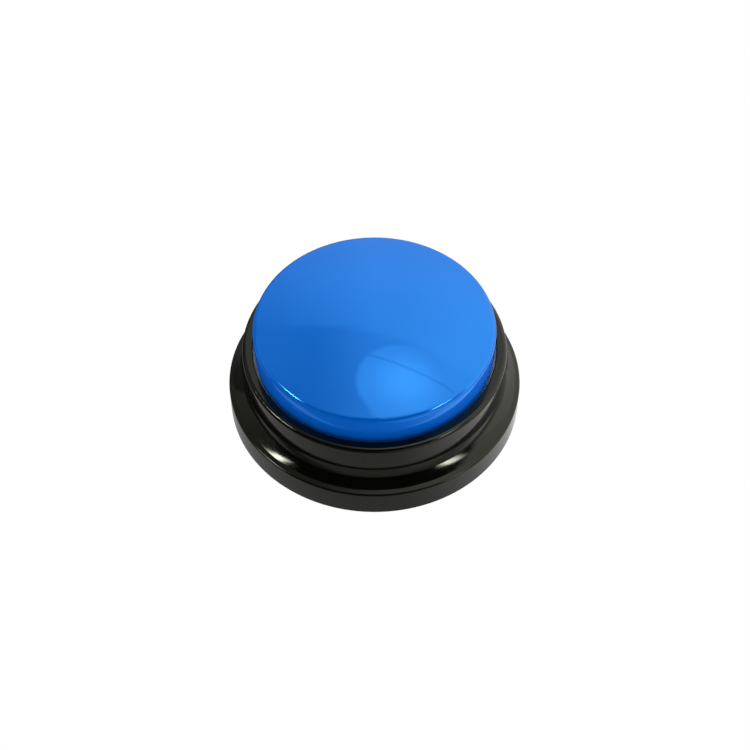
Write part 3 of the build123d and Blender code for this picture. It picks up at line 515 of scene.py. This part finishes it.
RING_OUTER_EDGE = (65.0 * MM, 67.0 * MM)
RIGHT_RAMP = (5 * MM, 75 * MM)  # where the brighter right begins and is full, along x


def lamp(nodes, direction, towards, strength):
    """A long low lamp far away, brightest at its front end."""
    middle = Vector(towards).normalized()
    side = middle.cross(Vector((0, 0, 1))).normalized()
    if side.y > 0:
        side = -side

    def part(axis):
        dot = nodes.node("ShaderNodeVectorMath", operation="DOT_PRODUCT")
        nodes.feed(direction, dot.inputs[0])
        nodes.feed(axis, dot.inputs[1])
        return dot.outputs["Value"]

    to_side = nodes.divide(part(side), sin(radians(LAMP_HALF_LENGTH)))
    up = nodes.divide(part(side.cross(middle)), sin(radians(LAMP_HALF_HEIGHT)))
    shape = nodes.between(nodes.length(to_side, up), 0.25, 1.0, strength, 0.0)
    shape = nodes.times(shape, nodes.between(to_side, -1.0, 0.5, 0.1, 1.0))
    return nodes.times(shape, nodes.between(part(middle), 0.0, 0.1))


def add_world():
    world = bpy.data.worlds.new("studio")
    bpy.context.scene.world = world
    world.use_nodes = True
    nodes = Nodes(world.node_tree)
    direction = nodes.node("ShaderNodeTexCoord").outputs["Generated"]
    x, y, z = nodes.xyz(direction)
    height = nodes.math("MAXIMUM", z, 0.02)
    across = nodes.divide(x, height)
    along = nodes.divide(y, height)
    azimuth = nodes.math("ARCTAN2", x, y)

    # Back and right: a wall whose light grows from left to right, under a darker ceiling.
    grows = nodes.between(azimuth, radians(-50), radians(0), 0.11, 0.82, smooth=False)
    grows = nodes.add(grows, nodes.between(azimuth, radians(0), radians(40), 0.0, 0.24))
    grows = nodes.times(grows, nodes.between(z, 0.2, 0.6, 0.80, 1.0))
    ends = nodes.between(azimuth, radians(95), radians(135), 1.0, 0.0)
    wall = nodes.times(grows, ends)
    ceiling_edge = nodes.subtract(CEILING_EDGE, nodes.times(across, CEILING_SLANT))
    above_edge = nodes.between(nodes.subtract(along, ceiling_edge), -0.04, 0.06)
    ceiling = nodes.between(across, -0.40, 0.10, 0.20, 0.64)
    ceiling = nodes.add(ceiling, nodes.between(across, 0.10, 0.45, 0.0, 0.34))
    ceiling = nodes.add(ceiling, nodes.between(along, 0.15, 0.60, 0.0, 0.05))
    ceiling = nodes.times(ceiling, nodes.between(along, -0.55, -0.35))
    room = nodes.add(nodes.times(wall, above_edge), nodes.times(ceiling, nodes.subtract(1.0, above_edge)))

    # Overhead: a round softbox with a hot middle and one thin strut across it.
    out = nodes.length(nodes.subtract(across, SOFTBOX_CENTRE[0]), nodes.subtract(along, SOFTBOX_CENTRE[1]))
    inside = nodes.between(out, SOFTBOX_RADIUS - SOFTBOX_EDGE, SOFTBOX_RADIUS + SOFTBOX_EDGE, 1.0, 0.0)
    glow = nodes.between(out, 0.02, SOFTBOX_RADIUS, 1.58, 0.98)
    off_strut = nodes.add(nodes.times(across, STRUT_ACROSS), nodes.times(along, STRUT_ALONG))
    off_strut = nodes.subtract(off_strut, STRUT_OFFSET)
    strut = nodes.between(nodes.math("ABSOLUTE", off_strut), 0.004, 0.012, 0.72, 1.0)
    softbox = nodes.times(nodes.times(glow, strut), inside)
    room = nodes.add(nodes.times(room, nodes.subtract(1.0, inside)), softbox)

    # Low to the right: a bright panel.
    side = nodes.between(azimuth, radians(10), radians(70), 0.0, PANEL_LIGHT)
    side = nodes.times(side, nodes.between(azimuth, radians(140), radians(172), 1.0, 0.0))
    room = nodes.add(room, nodes.times(side, nodes.between(z, 0.34, 0.44, 1.0, 0.0)))

    # Low in front: the pale sweep behind the camera. Left and right: the two lamps.
    sweep = nodes.between(z, 0.12, 0.30, HORIZON_LIGHT, 0.0)
    front = nodes.between(y, -0.15, 0.15, 1.0, 0.0)
    room = nodes.add(room, nodes.times(sweep, front))
    room = nodes.add(room, lamp(nodes, direction, LEFT_LAMP, LEFT_LAMP_LIGHT))
    room = nodes.add(room, lamp(nodes, direction, RIGHT_LAMP, RIGHT_LAMP_LIGHT))
    room = nodes.times(room, LIGHT_SCALE)

    # Reflections show the room; matt surfaces get the even light; the camera itself sees plain white.
    ray = nodes.node("ShaderNodeLightPath").outputs
    room = nodes.times(room, nodes.subtract(1.0, nodes.add(ray["Is Camera Ray"], ray["Is Diffuse Ray"])))
    even = nodes.times(nodes.between(y, -0.80, -0.35, 0.0, EVEN_LIGHT), ray["Is Diffuse Ray"])
    shown = nodes.add(nodes.add(room, even), ray["Is Camera Ray"])
    world.cycles.sampling_method = "NONE"
    background = world.node_tree.nodes["Background"]
    nodes.feed(shown, background.inputs["Strength"])
    nodes.feed((1.0, 1.0, 1.0, 1.0), background.inputs["Color"])


def add_floor():
    """A floor that is plain white to the camera, and which a camera below it sees through.

    In the object's reflections it is bright only in a disc and a ring round the object, and to the right,
    which is tuned until the black housing's bands look as photographed.
    """
    bpy.ops.mesh.primitive_plane_add(size=FLOOR_SIZE, location=(0, 0, BOTTOM - FLOOR_GAP))
    floor = bpy.context.active_object
    floor.name = "floor"
    material = bpy.data.materials.new("floor_white")
    material.use_nodes = True
    material.node_tree.nodes.clear()
    nodes = Nodes(material.node_tree)
    material.cycles.emission_sampling = "NONE"
    ray = nodes.node("ShaderNodeLightPath").outputs
    x, y, _ = nodes.xyz(nodes.node("ShaderNodeTexCoord").outputs["Object"])
    out = nodes.length(x, y)
    disc = nodes.between(out, *DISC_EDGE, 1.0, 0.0)
    ring = nodes.times(
        nodes.between(out, *RING_INNER_EDGE), nodes.between(out, *RING_OUTER_EDGE, 1.0, 0.0)
    )
    seen = nodes.add(nodes.times(nodes.add(disc, ring), FLOOR_SEEN - FLOOR_FAR), FLOOR_FAR)
    seen = nodes.add(seen, nodes.between(x, *RIGHT_RAMP, 0.0, FLOOR_RIGHT))
    seen = nodes.add(seen, nodes.times(ray["Is Diffuse Ray"], FLOOR_LIGHT))
    light = nodes.node("ShaderNodeEmission")
    nodes.feed(nodes.math("MAXIMUM", seen, ray["Is Camera Ray"]), light.inputs["Strength"])
    clear = nodes.node("ShaderNodeBsdfTransparent")
    either = nodes.node("ShaderNodeMixShader")
    nodes.feed(nodes.node("ShaderNodeNewGeometry").outputs["Backfacing"], either.inputs[0])
    nodes.feed(light.outputs[0], either.inputs[1])
    nodes.feed(clear.outputs[0], either.inputs[2])
    nodes.feed(either.outputs[0], nodes.node("ShaderNodeOutputMaterial").inputs["Surface"])
    floor.data.materials.append(material)


def add_springs():
    """The return springs hang on the button: each is a copy of its CAD node, which is hidden."""
    for number in (1, 2, 3):
        node = f"button_spring_{number}"
        spring = bpy.data.objects.new(f"return_spring_{number}", frame["nodes"][node].data.copy())
        bpy.context.scene.collection.objects.link(spring)
        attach(spring, "button")
        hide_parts(node)
        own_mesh(spring)


# ---------------------------------------------------------------- the whole
finish_nodes()
add_springs()
add_camera()
add_world()
add_floor()
bpy.context.scene.view_settings.view_transform = "Standard"
